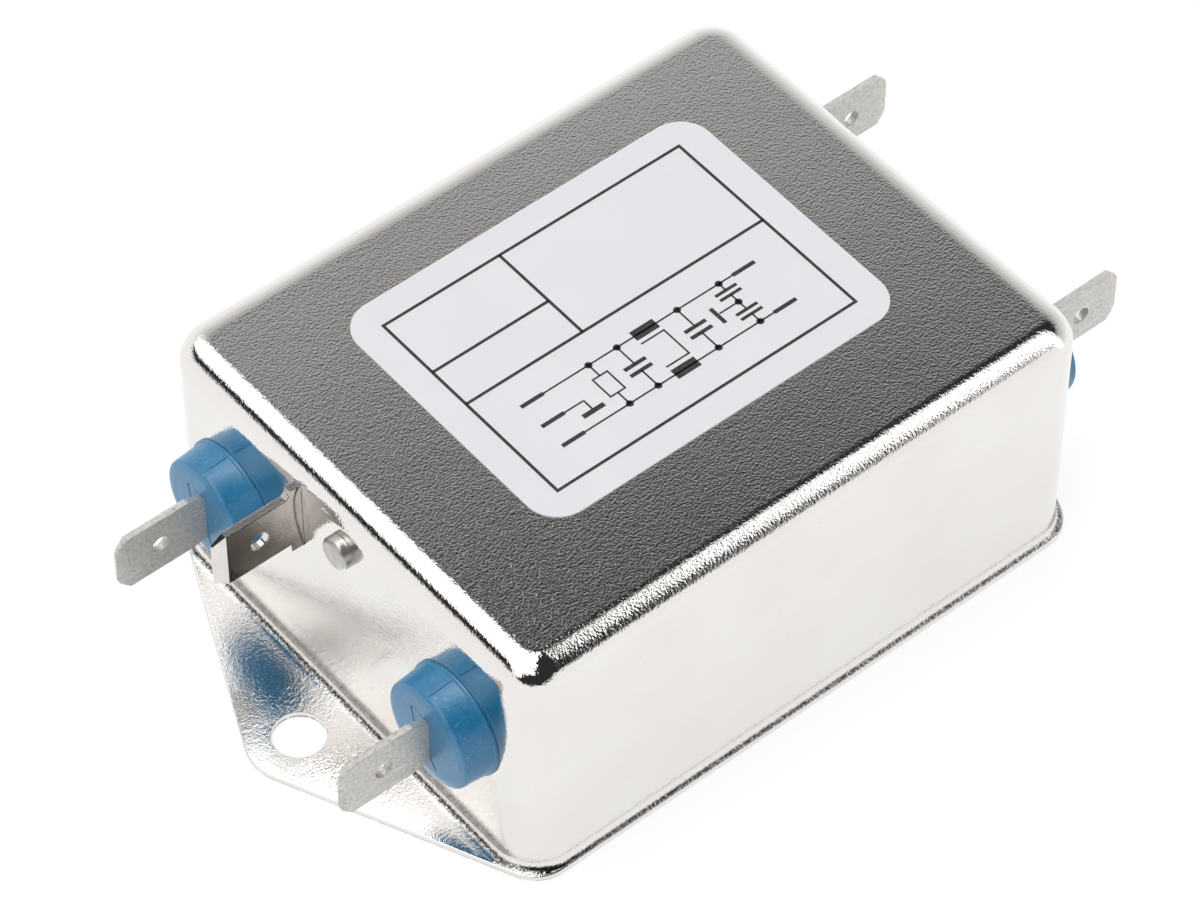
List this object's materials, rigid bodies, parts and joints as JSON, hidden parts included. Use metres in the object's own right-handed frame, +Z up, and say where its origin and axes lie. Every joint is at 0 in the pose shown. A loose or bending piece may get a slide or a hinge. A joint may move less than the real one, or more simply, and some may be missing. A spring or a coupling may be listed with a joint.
{
  "type": "emi power line filter",
  "caption": "Chassis-mount power line filter: drawn metal can with two pointed mounting lugs, bushed blade terminals at both ends and an earth blade.",
  "frame": {"origin": "centre of the overall box on the mounting plane, which is the underside of the lugs", "axes": "+X from the line end to the load end, +Y across the can, +Z up from the mounting plane to the labelled roof"},
  "size_m": [0.0896, 0.0522, 0.0281],
  "materials": {
    "can": "bright nickel plate",
    "cover": "satin plate",
    "resin": "poured resin",
    "board": "matte",
    "liner": "matte film",
    "label": "satin film",
    "bushing": "matte",
    "blade": "dull tin plate",
    "earth_blade": "dull tin plate",
    "rivet": "satin",
    "moulding": "matte",
    "ferrite": "matte",
    "copper": "enamelled wire",
    "film_capacitor": "moulded",
    "disc_capacitor": "dipped",
    "resistor": "lacquered",
    "lead": "sleeved wire",
    "earth_wire": "sleeved wire"
  },
  "bodies": {
    "root": {"case_shell": "can", "base_cover": "cover", "resin_seal": "resin", "circuit_board": "board", "insulating_liner": "liner", "label": "label", "line_bushing_l": "bushing", "line_bushing_n": "bushing", "load_bushing_l": "bushing", "load_bushing_n": "bushing", "line_tab_l": "blade", "line_tab_n": "blade", "load_tab_l": "blade", "load_tab_n": "blade", "earth_tab": "earth_blade", "earth_rivet": "rivet", "choke_base": "moulding", "choke_core": "ferrite", "choke_divider": "liner", "choke_winding_l": "copper", "choke_winding_n": "copper", "x_capacitor_line": "film_capacitor", "x_capacitor_load": "film_capacitor", "y_capacitor_l": "disc_capacitor", "y_capacitor_n": "disc_capacitor", "bleed_resistor": "resistor", "line_lead_l": "lead", "line_lead_n": "lead", "load_lead_l": "lead", "load_lead_n": "lead", "earth_lead": "earth_wire"}
  },
  "joints": []
}
